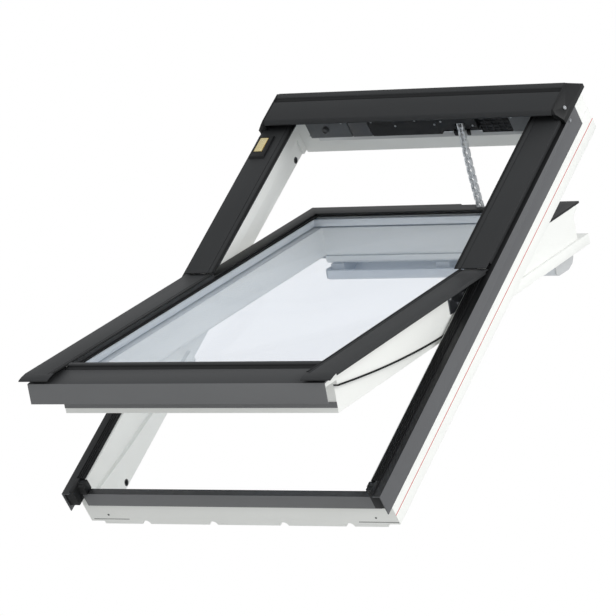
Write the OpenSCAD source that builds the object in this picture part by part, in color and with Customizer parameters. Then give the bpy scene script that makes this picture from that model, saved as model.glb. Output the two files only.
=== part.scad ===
// Electric centre-pivot roof window in its frame, rest pose: sash open.
// Built flat in the plane of the roof: x across, y up the slope from the pivot line,
// z outwards from the ridge line of the side cladding. The last step tilts it to the roof pitch.

/* [Overall] */
// Width of the moulded frame
frame_w = 760; // [640:1:1000]
// From the pivot line down the slope to the lower face of the frame
lower_l = 615; // [560:1:760]
// From the pivot line up the slope to the upper face of the frame
upper_l = 599; // [560:1:760]
// Roof pitch
pitch = 45; // [15:1:75]
// Opening angle of the sash at rest
open_angle = 25.4; // [10:0.1:28]

/* [Frame moulding] */
// Depth of the frame below the ridge line
frame_d = 113; // [108:1:135]
// Width of the top and bottom members
member_w = 43; // [36:1:60]
// Thickness of the lower wall in front of the sash
lower_wall = 11; // [9:1:16]
// Width of the side members above the seal line
side_w = 33; // [30:1:45]
// Step under the seal line
rebate_w = 10; // [7:1:12]
// Height of the ledge under the lower edge of the sash
ledge_h = 15; // [10:1:16]

/* [Cladding] */
// Overhang of the side cladding past the frame
clad_gap = 10; // [8:1:14]
// Sheet thickness of the cladding
sheet = 2.5; // [1.5:0.1:3]
// Depth of the outer side cladding
side_clad_d = 51; // [40:1:70]
// Depth of the cladding on the bottom member
front_fold_h = 33; // [25:1:40]
// Step of the moulding behind the cladding
clad_step = 1; // [0.5:0.5:3]
// Height of the wide covers above the ridge line
cover_h = 11; // [10:0.5:14]
// Inner edge of the wide covers from the frame's inner face
cover_reach = 45; // [35:1:55]
// Width of the hood up the slope
hood_w = 130; // [110:1:150]

/* [Sash] */
// Running gap between the sash and the frame on each side
side_gap = 4; // [3:0.5:6]
// Width of the sash side members
stile_w = 47; // [40:1:60]
// Depth of the sash below the ridge line
sash_d = 96; // [90:1:100]
// Reach of the sash lip past its sides
lip_w = 7; // [5:1:8]
// Height of the sash front cover
front_cover_h = 45; // [38:1:54]
// Glass thickness
glass_t = 4; // [3:0.5:6]
// Space between the panes
glass_space = 16; // [10:1:18]

/* [Hardware] */
// Pivot pin radius
pin_r = 6; // [4:0.5:8]
// Running clearance of pins in their bores
run_c = 0.05; // [0.02:0.01:0.1]
// Pitch radius of the chain sprocket
sprocket_r = 12; // [10:0.5:13]
// Barrel bolt radius
bolt_r = 5; // [4:0.5:6]
/* [Control bar] */
// Half length of the control bar
bar_half = 292; // [240:1:300]
// Gap between the bar and its casing
bar_gap = 12; // [8:1:16]

/* [Hidden] */
$fn = 48;

eps = 1;                            // overlap of a cut past the face it opens
lo = -lower_l;                      // lower face of the frame
hi = upper_l;                       // upper face of the frame
half_w = frame_w / 2;               // outer side of the frame
clad_x = half_w + clad_gap;         // outer side of the cladding
inner_x = half_w - side_w;          // inner side of the frame above the seal line
ledge_x = inner_x - rebate_w;       // inner side of the frame below the seal line
pocket_x = inner_x + 6;             // inner side of the frame beside the sash lip
pivot_z = -20;                      // depth of the pivot
frame_top = -2;                     // outer face of the side members
low_top = -27;                      // outer face of the bottom member
skirt_h = 8;                        // rim under the bottom and top members
skirt_in = 32;                      // rim's step in from the sides

sash_x = inner_x - side_gap;        // sash side above the seal line
core_x = ledge_x - side_gap;        // sash side below the seal line
lip_x = sash_x + lip_w;             // sash lip on the upper half
day_x = sash_x - stile_w;           // daylight half width
sash_lo = lo + lower_wall + 6;      // lower edge of the sash core
sash_hi = hi - member_w - 76;       // upper edge of the sash
lip_hi = sash_hi + 41;              // upper edge of the sash lip
lip_top = -72;                      // outer face of the sash lip
day_lo = sash_lo + 36;              // daylight lower edge
day_hi = sash_hi - 17;              // daylight upper edge
overlap_lo = sash_lo - 59;          // lower edge of the sash over the frame
overlap_z = -24;                    // inner face of that overhang
front_y = sash_lo - 78;             // outer face of the sash front cover
wide_from = 3;                      // sash is wide at full depth above here

split_y = 13;                       // upper end of the sash covers
upper_from = 19;                    // lower end of the frame's wide covers
lip_clear = 22;                     // lips of those covers start this far up
gasket_top = 2.5;                   // top of the side gaskets
top_strip = 5;                      // thickness of the sash top cover
cover_z = cover_h - sheet;          // underside of the wide covers
cover_in = inner_x - cover_reach;   // inner edge of the frame's wide covers
cover_out = clad_x - 11;            // outer edge of the wide covers
sash_cover_in = cover_in + 6;       // inner edge of the sash covers
pane_x = sash_x - 19;               // glass half width
pane_lo = sash_lo + 12;
pane_hi = sash_hi - 8;
pane_top = -4;                      // outer face of the glass
seat_z = pane_top - 2 * glass_t - glass_space;  // glass rests here
seal_in = sash_cover_in - 5;        // inner edge of the glazing seal

// Seal line of the lower half: depth at a place down the slope
seal_far = -130;                    // seal line runs level above here
seal_low = -79;
seal_rise = 52;
seal_run = 510;
seal_pow = 1.7;
seal_t = 3.4;
seal_n = 14;
function seal_z(y) = seal_low + seal_rise * pow(max(0, seal_far - y) / seal_run, seal_pow);
function seal_pts(y0, drop) =
    [for (i = [0 : seal_n]) let (y = y0 + (seal_far - y0) * i / seal_n) [y, seal_z(y) + drop]];

// Chain drive
exit_x = 107;
exit_y = hi - 80;
sprocket_y = exit_y + sprocket_r;
sprocket_z = -10;
anchor_y = sash_hi + 18;            // chain's pin on the sash, closed place
anchor_z = -30;

// Barrel bolt
bolt_y = lip_hi - 11;
bolt_z = -sash_d - 8;
bolt_low = -bolt_y;                 // lower sleeve
sleeve_r = bolt_r + 3;
sleeve_bore = bolt_r + 1;

// Control bar
vent_y = lip_hi + 5;                // pivot of the bar
vent_z = -sash_d - 10;
casing_lo = day_hi + 1;
casing_hi = lip_hi + 13;
casing_t = 17;
casing_z = -sash_d - casing_t;
bracket_w = 34;
bracket_at = [-bar_half + 19, 0, bar_half - 19];

// ---- helpers ----

module box(x, y, z) {
    translate([x[0], y[0], z[0]]) cube([x[1] - x[0], y[1] - y[0], z[1] - z[0]]);
}

// Outline in the y-z plane, run from one x to another
module along_x(x, pts) {
    translate([x[0], 0, 0]) rotate([90, 0, 90]) linear_extrude(x[1] - x[0]) polygon(pts);
}

module rod_x(x, y, z, r) {
    translate([x[0], y, z]) rotate([0, 90, 0]) cylinder(h = x[1] - x[0], r = r);
}

// Right-hand shape for side 1, its mirror image for side -1
module on_side(s) {
    if (s < 0) mirror([1, 0, 0]) children();
    else children();
}

// From the plane of the roof to the object's own frame
module roof() {
    rotate([pitch, 0, 0]) translate([0, -lo, frame_d - 39]) children();
}

// Sash in its open place
module sash() {
    roof() translate([0, 0, pivot_z]) rotate([-open_angle, 0, 0])
        translate([0, 0, -pivot_z]) children();
}

// ---- outer frame ----

module frame_rims() {
    box([-half_w + skirt_in, half_w - skirt_in], [lo, lo + member_w],
        [-frame_d - skirt_h, -frame_d]);
    box([-half_w + skirt_in, half_w - skirt_in], [hi - member_w, hi - 24],
        [-frame_d - skirt_h, -frame_d]);
}

module seal_ledge_cut() {
    along_x([-inner_x, inner_x], concat([[lo + lower_wall, eps]], seal_pts(lo + lower_wall, -side_gap),
        [[seal_far + 3, seal_low - side_gap], [seal_far + 3, eps]]));
}

notch_r = 10;
module skirt_notches() {
    for (f = [-0.7, -0.22, 0.28, 0.74])
        translate([f * (half_w - skirt_in), lo - eps, -frame_d - skirt_h])
            rotate([-90, 0, 0]) cylinder(h = 14, r = notch_r);
}

module outer_frame() color("white") roof() difference() {
    union() {
        box([-half_w, half_w], [lo, hi], [-frame_d, frame_top]);
        frame_rims();
    }
    // daylight between the ledges
    box([-ledge_x, ledge_x], [lo + member_w, hi - member_w], [-frame_d - 2 * skirt_h, eps]);
    // space of the sash's lower edge above its ledge
    box([-ledge_x, ledge_x], [lo + lower_wall, lo + member_w + eps], [-frame_d + ledge_h, eps]);
    // outer face of the bottom member lies lower than the sides
    box([-inner_x, inner_x], [lo - eps, lo + lower_wall + eps], [low_top, eps]);
    // upper half, wide all the way, and wider still beside the lip
    box([-inner_x, inner_x], [seal_far + 2, hi - member_w], [-frame_d - 2 * skirt_h, eps]);
    box([-pocket_x, pocket_x], [-23, hi - member_w - 15], [-frame_d - 2 * skirt_h, lip_top + 3]);
    seal_ledge_cut();
    skirt_notches();
    // hinge sockets and bolt sleeves
    for (s = [-1, 1]) on_side(s) rod_x([inner_x - eps, inner_x + 14], 0, pivot_z, pin_r + 5);
    for (y = [bolt_y, bolt_low]) rod_x([-half_w + 4, -ledge_x + eps], y, bolt_z, sleeve_r);
    // outer faces step back behind the cladding, so that the faces below it lie free
    for (s = [-1, 1]) on_side(s)
        box([half_w - clad_step, half_w + eps], [lo - eps, hi + eps], [-side_clad_d - 4, eps]);
    box([-half_w - eps, half_w + eps], [lo - eps, lo + clad_step], [low_top - front_fold_h - 3, eps]);
    box([-half_w - eps, half_w + eps], [hi - clad_step, hi + eps], [-side_clad_d - 4, eps]);
}

front_half = cover_out - 18;        // half width of the front covers
module frame_bottom_cover() color("dimgray") roof() {
    edge = inner_x - 0.5;
    box([-edge, edge], [lo - 7, lo + lower_wall - 1], [low_top, low_top + 2]);
    box([-front_half, front_half], [lo - 7, lo - 5], [low_top - front_fold_h, low_top]);
    box([-front_half, front_half], [lo - 7, lo - 5], [low_top, low_top + 2]);
}

module side_cover(s) color("dimgray") roof() on_side(s) difference() {
    union() {
        box([clad_x - 18, clad_x], [lo - 31, hi - 57], [frame_top, 0]);
        box([clad_x - 2, clad_x], [lo - 31, hi - 57], [-side_clad_d, frame_top]);
    }
    rod_x([clad_x - 3, clad_x + eps], hi - 95, -7, 2.1);
}
module side_cover_left() side_cover(-1);
module side_cover_right() side_cover(1);

gasket_lo = lo + 13;
module side_gasket(s) color("black") roof() on_side(s) difference() {
    box([inner_x + 5, clad_x - 18], [gasket_lo, upper_from - 1], [frame_top, gasket_top]);
    for (i = [1 : 3]) box([inner_x + 5 + 5.2 * i, inner_x + 7 + 5.2 * i],
                          [gasket_lo - eps, upper_from], [gasket_top - 1.5, gasket_top + eps]);
}
module side_gasket_left() side_gasket(-1);
module side_gasket_right() side_gasket(1);

module corner_cap(s) color("black") roof() on_side(s) {
    box([front_half + 1.5, clad_x - 18], [lo - 27, gasket_lo], [frame_top, gasket_top]);
    box([front_half + 1.5, clad_x - 2], [lo - 27, lo], [-38, frame_top]);
    // in front of the end of the side member, and over it
    box([inner_x - 0.5, front_half + 1.5], [lo - 9, lo], [low_top + 2, frame_top]);
    box([inner_x - 1, front_half + 1.5], [lo - 1, gasket_lo], [frame_top, frame_top + 1.2]);
    box([inner_x - 1, inner_x], [lo, gasket_lo], [low_top + 2, frame_top]);
}
module corner_cap_left() corner_cap(-1);
module corner_cap_right() corner_cap(1);

cover_groove = 15;                  // groove in the wide covers, from their inner edge
module upper_cover(s) color("dimgray") roof() on_side(s) difference() {
    union() {
        box([cover_in, cover_out], [upper_from, hi - 62], [cover_z, cover_h]);
        box([cover_in, cover_in + sheet], [upper_from + lip_clear, hi - 62],
            [top_strip + 0.3, cover_z]);
        box([cover_out - sheet, cover_out], [upper_from + lip_clear, hi - 62], [0, cover_z]);
    }
    box([cover_in + cover_groove, cover_in + cover_groove + 2], [upper_from - eps, hi],
        [cover_h - 1.2, cover_h + eps]);
}
module upper_cover_left() upper_cover(-1);
module upper_cover_right() upper_cover(1);

// Hood outline, from the front lip over the top to the back
hood_hi = hi + 6;
hood_lo = hood_hi - hood_w;
hood_top = 38.5;                    // raised top of the hood, parallel to the roof
hood_end = 366;                     // half length of the raised part
hood_base = 12;                     // outer face of the caps at their foot
cap_slope = atan((hood_top - hood_base) / (clad_x - hood_end - 4));
hood_out = [[hood_lo + 6, 27], [hood_lo + 6, 30], [hood_lo + 12, 37], [hood_lo + 15, hood_top],
            [hood_lo + 73, hood_top], [hood_lo + 75, hood_top - 2.5],
            [hood_lo + 86, hood_top - 2.5], [hood_lo + 88, hood_top],
            [hood_lo + 101, hood_top], [hood_lo + 104, hood_top - 1.5],
            [hood_hi - 2, hood_base], [hood_hi, hood_base - 2], [hood_hi, -12]];
hood_in = [[hood_hi - sheet, -12], [hood_hi - sheet, hood_base - 3.5],
           [hood_lo + 101, hood_top - 5], [hood_lo + 15, hood_top - 5],
           [hood_lo + 8.5, 29], [hood_lo + 8.5, 27]];
module hood() color("dimgray") roof()
    along_x([-hood_end, hood_end], concat(hood_out, hood_in));

module on_cap_slope() translate([hood_end + 4, 0, hood_top]) rotate([0, cap_slope, 0])
    translate([22, hi - 85, 0]) children();
// Wedge that falls from the raised top to the side cladding
module hood_end_cap(s) color("black") roof() on_side(s) difference() {
    along_x([hood_end + 0.2, clad_x],
            [[hood_lo + 11, 0], [hood_lo + 9, 13], [hood_lo + 7, 30], [hood_lo + 13, 37],
             [hood_lo + 15, hood_top], [hood_lo + 101, hood_top], [hood_hi - 2, hood_base],
             [hood_hi, hood_base - 2], [hood_hi, 0]]);
    translate([hood_end + 4, 0, hood_top]) rotate([0, cap_slope, 0])
        translate([0, hood_lo - eps, 0]) cube([60, hood_w + 2 * eps, 40]);
    // clear of the wide cover, and the screw's hole
    box([hood_end, cover_out + 0.2], [hood_lo, hi - 61.7], [-eps, cover_h + 0.3]);
    on_cap_slope() cylinder(h = 16, r = 2.1, center = true);
}
module hood_end_cap_left() hood_end_cap(-1);
module hood_end_cap_right() hood_end_cap(1);

module frame_hinge(s) color("silver") roof() on_side(s) difference() {
    union() {
        box([inner_x - 1.7, inner_x], [-35, 35], [-64, -5]);
        rod_x([inner_x, inner_x + 13.5], 0, pivot_z, pin_r + 5);
    }
    rod_x([inner_x - 2, inner_x + 12.5], 0, pivot_z, pin_r + run_c);
}
module frame_hinge_left() frame_hinge(-1);
module frame_hinge_right() frame_hinge(1);

shelf_z = -50;
module top_rail() color("silver") roof() {
    box([-300, 300], [hi - member_w - 3, hi - member_w], [-86, shelf_z + 3]);
    box([-300, 300], [hi - 72, hi - member_w - 3], [shelf_z, shelf_z + 3]);
}

act_y = [hi - 81, hi - member_w - 3];
act_z = [shelf_z + 3, 8];
wall_t = 2;
housing_x = [-128, 50];
module open_tray(x) difference() {
    box(x, act_y, act_z);
    box([x[0] + wall_t, x[1] - wall_t], [act_y[0] + wall_t, act_y[1] - wall_t],
        [act_z[0] + wall_t, act_z[1] + eps]);
}
module actuator_housing() color("black") roof() open_tray(housing_x);
module actuator_lid() color("black") roof()
    box(housing_x, act_y, [act_z[1], act_z[1] + 1.5]);
module gear_motor() color("silver") roof() {
    rod_x([-110, -20], hi - 63, -24, 15);
    rod_x([-20, 10], hi - 63, -24, 11);
    box([-112, -110], [hi - 76, hi - 50], [act_z[0] + wall_t, -12]);
}

casing_x = [housing_x[1] + 0.3, 150];
gear_y = [hi - 88, hi - member_w - 3];
module gear_casing() color("black") roof() difference() {
    box(casing_x, gear_y, [-30, 12]);
    box([exit_x - 14, exit_x + 14], [gear_y[0] + 2, gear_y[1] - 4], [-27.5, 9.5]);
    box([exit_x - 12, exit_x + 12], [gear_y[0] - eps, exit_y + 7], [-31, -12]);
    rod_x([casing_x[0] - eps, casing_x[1] + eps], sprocket_y, sprocket_z, 3 + run_c);
}

teeth = 10;
module drive_sprocket() color("silver") roof() translate([0, sprocket_y, sprocket_z]) {
    rod_x([casing_x[0] + 4, casing_x[1] - 4], 0, 0, 3);
    difference() {
        rod_x([exit_x - 4, exit_x + 4], 0, 0, sprocket_r - 1.5);
        for (i = [0 : teeth - 1]) rotate([360 * i / teeth, 0, 0])
            rod_x([exit_x - 5, exit_x + 5], sprocket_r, 0, 3);
    }
}

// Chain from the sprocket to the open sash, links along a shallow bow
open_anchor = [anchor_y * cos(open_angle) + (anchor_z - pivot_z) * sin(open_angle),
               pivot_z - anchor_y * sin(open_angle) + (anchor_z - pivot_z) * cos(open_angle)];
chain_n = 22;
chain_bow = 5;
chain_top = [exit_y - 2, sprocket_z - 6];
chain_end = [open_anchor[0] + 0.6, open_anchor[1] + 4.1];
function chain_at(t) = chain_top + (chain_end - chain_top) * t + [-chain_bow, 0] * sin(180 * t);
chain_l = norm(chain_end - chain_top) / chain_n;
module opening_chain() color("lightgray") roof()
    for (i = [0 : chain_n - 1]) let (a = chain_at(i / chain_n), b = chain_at((i + 1) / chain_n))
        translate([exit_x, (a[0] + b[0]) / 2, (a[1] + b[1]) / 2])
            rotate([atan2(b[1] - a[1], b[0] - a[0]), 0, 0])
                cube([i % 2 == 0 ? 15 : 11, chain_l + 1.5, 8], center = true);

module control_box() color("gray") roof() box([-290, -182], act_y, act_z);
module cable_box() color("dimgray") roof() box([-180, -130], act_y, act_z);
module junction_box() color("gray") roof() box([230, 300], act_y, act_z);

module rain_sensor_housing() color("black") roof() difference() {
    along_x([-cover_out + 5, -cover_out + 43],
            [[hi - 210, cover_h], [hi - 206, 16], [hi - 142, 18], [hi - 136, cover_h]]);
    box([-cover_out + 10, -cover_out + 33], [hi - 192, hi - 146], [15, 19]);
}
module rain_sensor_pad() color("goldenrod") roof()
    box([-cover_out + 11, -cover_out + 32], [hi - 191, hi - 147], [15, 17.6]);

module bolt_sleeves() color("dimgray") roof() {
    for (p = [[bolt_y, pocket_x], [bolt_low, ledge_x]]) difference() {
        rod_x([-half_w + 4, -p[1]], p[0], bolt_z, sleeve_r);
        rod_x([-half_w + 6, -p[1] + eps], p[0], bolt_z, sleeve_bore);
    }
}

module screw_x(x, y, z, r) {
    rod_x([x, x + 1.6], y, z, r);
    rod_x([x - 4.5, x], y, z, 2);
}
module frame_screws() color("silver") roof() for (s = [-1, 1]) on_side(s) {
    on_cap_slope() {
        translate([0, 0, 0.1]) cylinder(h = 1.6, r = 4.5);
        translate([0, 0, -5]) cylinder(h = 5.2, r = 2);
    }
    rod_x([clad_x, clad_x + 1.6], hi - 95, -7, 4.5);
    rod_x([clad_x - 3, clad_x], hi - 95, -7, 2);
}

// ---- sash ----

wide_lo = sash_lo - 2;              // wide part follows the seal line above here
fold_y = wide_lo + 5;               // upper edge of the sash front cover
front_top = -4;                     // height of its front fold
fold_top = 6;                       // height of its upper edge
front_t = 2.6;                      // its sheet thickness
function front_under(y) = front_top - front_t
    + (fold_top - front_top) * (y - front_y - front_t) / (fold_y - front_y - front_t);
module sash_solid() {
    // core below the seal line, full length
    box([-core_x, core_x], [sash_lo, sash_hi], [-sash_d, 0]);
    // wide part above the seal line, lower half
    along_x([-sash_x, sash_x], concat([[wide_lo, overlap_z]], seal_pts(wide_lo, 0),
        [[wide_from, seal_low], [wide_from, cover_z], [fold_y, cover_z],
         [fold_y, front_under(fold_y)], [overlap_lo, front_under(overlap_lo)],
         [overlap_lo, overlap_z]]));
    // wide at full depth, upper half
    box([-sash_x, sash_x], [wide_from, sash_hi], [-sash_d, 0]);
    // lip against the inside of the frame
    box([-lip_x, lip_x], [18, lip_hi], [-sash_d, lip_top]);
}

module sash_frame() color("white") sash() difference() {
    sash_solid();
    box([-day_x, day_x], [day_lo, day_hi], [-sash_d - eps, seat_z + eps]);
    box([-pane_x - 2, pane_x + 2], [pane_lo - 2, pane_hi + 2], [seat_z, cover_h]);
    for (s = [-1, 1]) on_side(s) box([sash_x - 1.9, sash_x + eps], [-114, 12], [-48, -8]);
}

module pane(z) box([-pane_x, pane_x], [pane_lo, pane_hi], [z, z + glass_t]);
module glass_outer() color("lightblue", 0.4) sash() pane(pane_top - glass_t);
module glass_inner() color("lightblue", 0.4) sash() pane(seat_z);

module ring(outer, inner, z) difference() {
    box([-outer[0], outer[0]], [outer[1], outer[2]], z);
    box([-inner[0], inner[0]], [inner[1], inner[2]], [z[0] - eps, z[1] + eps]);
}
module glass_spacer() color("silver") sash()
    ring([pane_x, pane_lo, pane_hi], [pane_x - 12, pane_lo + 12, pane_hi - 12],
         [seat_z + glass_t, pane_top - glass_t]);
module glazing_seal() color("black") sash()
    ring([pane_x + 1.5, pane_lo - 1.5, pane_hi + 1.5], [seal_in, day_lo - 8, day_hi + 4],
         [pane_top, -0.2]);

tip_y = front_y - 4;
module sash_cover(s) color("dimgray") sash() on_side(s) difference() {
    union() {
        along_x([sash_cover_in, cover_out],
                [[split_y, cover_z], [split_y, cover_h], [front_y + 26, cover_h],
                 [front_y + 9, cover_h - 2.5], [tip_y, 4.5], [tip_y, 2], [front_y + 9, cover_z - 3],
                 [front_y + 26, cover_z]]);
        box([cover_out - sheet, cover_out], [front_y + 26, 0], [3.2, cover_z]);
        box([sash_cover_in, sash_cover_in + sheet], [pane_lo - 1, split_y], [0, cover_z]);
    }
    box([cover_in + cover_groove, cover_in + cover_groove + 2], [front_y, split_y + eps],
        [cover_h - 1.2, cover_h + eps]);
}
module sash_cover_left() sash_cover(-1);
module sash_cover_right() sash_cover(1);

module sash_bottom_cover() color("dimgray") sash()
    along_x([-front_half, front_half],
            [[front_y, front_top - front_cover_h], [front_y, front_top], [fold_y, fold_top],
             [fold_y, fold_top - front_t], [front_y + front_t, front_top - front_t],
             [front_y + front_t, front_top - front_cover_h]]);

// Strip along the lower edge of the sash core
module sash_front_strip() color("dimgray") sash()
    box([-core_x, core_x], [sash_lo - 1.2, sash_lo], [-sash_d + 11.5, -sash_d + 24]);

top_end = sash_hi + 34;             // upper edge of the sash top cover
module sash_top_cover() color("black") sash() difference() {
    box([-sash_x, sash_x], [split_y + 1, top_end], [0, top_strip]);
    box([-sash_cover_in, sash_cover_in], [split_y, day_hi + 3], [-eps, top_strip + eps]);
    // chain, and the gear casing above the closed sash
    box([exit_x - 11, exit_x + 11], [anchor_y - 14, top_end + eps], [-eps, top_strip + eps]);
    box([casing_x[0] - 4, casing_x[1] + 4], [gear_y[0] - 4, top_end + eps], [-eps, top_strip + eps]);
}

seal_end = -10;                     // upper end of the side seals
module sash_seal(s) color("black") sash() on_side(s)
    along_x([core_x, sash_x + 2.5],
            concat(seal_pts(wide_lo, 0), [[seal_end, seal_low], [seal_end, seal_low - seal_t]],
                   [for (i = [seal_n : -1 : 0]) seal_pts(wide_lo, -seal_t)[i]]));
module sash_seal_left() sash_seal(-1);
module sash_seal_right() sash_seal(1);

hinge_screw_at = [[-107, -16], [-51, -23], [-77, -37]];
module sash_hinge(s) color("dimgray") sash() on_side(s) difference() {
    union() {
        box([sash_x - 1.9, sash_x + 1.9], [-114, 12], [-48, -8]);
        rod_x([sash_x + 1.9, inner_x + 12], 0, pivot_z, pin_r);
    }
    for (p = hinge_screw_at) rod_x([sash_x - 2, sash_x + 3], p[0], p[1], 2.1);
}
module sash_hinge_left() sash_hinge(-1);
module sash_hinge_right() sash_hinge(1);

module hinge_screws() color("silver") sash() for (s = [-1, 1], p = hinge_screw_at) on_side(s) {
    rod_x([sash_x + 1.9, sash_x + 2.2], p[0], p[1], 4);
    rod_x([sash_x - 1.8, sash_x + 1.9], p[0], p[1], 2);
}

lug_x = 9.5;
module chain_bracket() color("silver") sash() {
    difference() {
        union() {
            box([exit_x - 22, exit_x + 22], [sash_hi, sash_hi + 3], [-62, -10]);
            for (s = [-1, 1]) translate([exit_x, 0, 0]) on_side(s) {
                box([lug_x, lug_x + 3], [sash_hi + 3, anchor_y], [anchor_z - 8, anchor_z + 8]);
                rod_x([lug_x, lug_x + 3], anchor_y, anchor_z, 8);
            }
        }
        rod_x([exit_x - 20, exit_x + 20], anchor_y, anchor_z, 3);
    }
    rod_x([exit_x - lug_x - 4, exit_x + lug_x + 4], anchor_y, anchor_z, 3);
}

module vent_casing() color("white") sash() difference() {
    along_x([-bar_half - 8, bar_half + 8],
            [[casing_lo, -sash_d], [casing_lo, casing_z + 5], [casing_lo + 5, casing_z],
             [casing_hi, casing_z], [casing_hi, -sash_d]]);
    for (x = bracket_at) {
        box([x - bracket_w / 2 - 1, x + bracket_w / 2 + 1], [vent_y - 18, casing_hi + eps],
            [casing_z - eps, -sash_d + eps]);
        rod_x([x - bracket_w / 2 - 8, x + bracket_w / 2 + 8], vent_y, vent_z, 2.5 + run_c);
    }
}
module vent_pins() color("silver") sash() for (x = bracket_at)
    rod_x([x - bracket_w / 2 - 6, x + bracket_w / 2 + 6], vent_y, vent_z, 2.5);

module bolt_housing() color("gray") sash() difference() {
    box([-sash_x - 3, -sash_x + 39], [bolt_y - 11, bolt_y + 11], [-sash_d - 16, -sash_d]);
    rod_x([-sash_x - 4, -sash_x + 33], bolt_y, bolt_z, bolt_r + run_c);
    box([-sash_x + 8, -sash_x + 34], [bolt_y - 3.2, bolt_y + 3.2], [-sash_d - 17, bolt_z]);
}
module barrel_bolt() color("silver") sash() {
    rod_x([-sash_x - 4, -sash_x + 31], bolt_y, bolt_z, bolt_r);
    translate([-sash_x + 28, bolt_y, -sash_d - 24]) cylinder(h = 14, r = 2.8);
}

// ---- control bar ----

bar_z = casing_z - bar_gap;         // outer edge of the bar's front lip
bar_lo = casing_lo - 18;
bar_hi = casing_hi;
bar_floor = bar_z - 15;
bar_out = [[bar_lo, bar_z], [bar_lo, bar_z - 18], [bar_lo + 12, bar_z - 24.5],
           [bar_lo + 57, bar_z - 25], [bar_hi - 10, bar_z - 17], [bar_hi, bar_z - 3],
           [bar_hi - 3, bar_z + 1]];
bar_in = [[bar_hi - 13, bar_z - 9], [bar_hi - 31, bar_floor], [bar_lo + 17, bar_floor],
          [bar_lo + 9, bar_z]];
module control_bar() color("silver") sash()
    along_x([-bar_half, bar_half], concat(bar_out, bar_in));
module bar_end_cap(s) color("lightgray") sash() on_side(s)
    along_x([bar_half, bar_half + 3.5], concat(bar_out, [[bar_lo + 4, bar_z + 4]]));
module bar_end_cap_left() bar_end_cap(-1);
module bar_end_cap_right() bar_end_cap(1);

module bar_bracket(i) color("lightgray") sash() difference() {
    x = [bracket_at[i] - bracket_w / 2, bracket_at[i] + bracket_w / 2];
    union() {
        along_x(x, [[casing_lo, bar_floor], [bar_hi - 31, bar_floor], [bar_hi - 13, bar_z - 9],
                    [bar_hi - 3, bar_z + 1], [bar_hi - 3, vent_z], [vent_y - 7, vent_z],
                    [vent_y - 7, casing_z - 1.5], [casing_lo, casing_z - 1.5]]);
        rod_x(x, vent_y, vent_z, 7);
    }
    rod_x([x[0] - eps, x[1] + eps], vent_y, vent_z, 2.5 + 2 * run_c);
}
module bar_bracket_left() bar_bracket(0);
module bar_bracket_middle() bar_bracket(1);
module bar_bracket_right() bar_bracket(2);

// ---- draw ----

outer_frame();
frame_bottom_cover();
side_cover_left();
side_cover_right();
side_gasket_left();
side_gasket_right();
corner_cap_left();
corner_cap_right();
upper_cover_left();
upper_cover_right();
hood();
hood_end_cap_left();
hood_end_cap_right();
frame_hinge_left();
frame_hinge_right();
top_rail();
actuator_housing();
actuator_lid();
gear_motor();
gear_casing();
drive_sprocket();
opening_chain();
control_box();
cable_box();
junction_box();
rain_sensor_housing();
rain_sensor_pad();
bolt_sleeves();
frame_screws();
sash_frame();
glass_outer();
glass_inner();
glass_spacer();
glazing_seal();
sash_cover_left();
sash_cover_right();
sash_bottom_cover();
sash_front_strip();
sash_top_cover();
sash_seal_left();
sash_seal_right();
sash_hinge_left();
sash_hinge_right();
hinge_screws();
chain_bracket();
vent_casing();
vent_pins();
bolt_housing();
barrel_bolt();
control_bar();
bar_end_cap_left();
bar_end_cap_right();
bar_bracket_left();
bar_bracket_middle();
bar_bracket_right();
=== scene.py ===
"""Looks of an electric centre-pivot roof window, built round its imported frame.

Every piece is modelled flat, in the plane of the roof or of the closed sash, in
millimetres: x across, y up the slope from the pivot, z outwards. It is then tilted
to its place at rest.
"""

import logging
import math
from dataclasses import dataclass, field
from enum import Enum
from typing import Any, Callable, Iterable, Mapping, Sequence

import bpy
from mathutils import Matrix, Vector

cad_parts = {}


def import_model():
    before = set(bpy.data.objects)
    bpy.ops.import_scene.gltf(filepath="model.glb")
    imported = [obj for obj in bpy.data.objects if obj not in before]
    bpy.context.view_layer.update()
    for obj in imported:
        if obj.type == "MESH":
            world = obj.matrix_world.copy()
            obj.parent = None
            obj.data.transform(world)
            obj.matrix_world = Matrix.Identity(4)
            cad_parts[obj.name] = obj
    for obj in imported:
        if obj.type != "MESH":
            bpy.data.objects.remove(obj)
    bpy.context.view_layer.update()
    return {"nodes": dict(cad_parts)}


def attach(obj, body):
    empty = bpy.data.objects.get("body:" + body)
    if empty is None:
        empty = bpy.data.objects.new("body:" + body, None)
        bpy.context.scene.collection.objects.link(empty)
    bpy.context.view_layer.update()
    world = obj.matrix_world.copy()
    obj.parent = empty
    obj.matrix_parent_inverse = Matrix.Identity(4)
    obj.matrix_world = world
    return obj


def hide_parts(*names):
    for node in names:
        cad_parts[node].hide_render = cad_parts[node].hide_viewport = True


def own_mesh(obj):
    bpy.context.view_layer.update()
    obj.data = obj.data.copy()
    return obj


LOG = logging.getLogger("roof_window")
MM = 0.001

Span = tuple[float, float]
Point = tuple[float, float]


# ---------------------------------------------------------------- places

PITCH = math.radians(45.0)
OPEN_ANGLE = math.radians(25.4)
LOWER_FACE = 615.0  # from the pivot line down to the frame's lower face
ORIGIN_DEPTH = 74.0  # from the ridge line in to the row's origin
PIVOT_DEPTH = 20.0

# Modelling tolerances
SHARP_DEG = 28.0  # edges that turn less than this aren't rounded
FLAT_DEG = 0.5  # faces that turn less than this are one face
WELD_MM = 0.01
FACING = 0.9  # share of the normal that counts as facing a way


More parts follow.
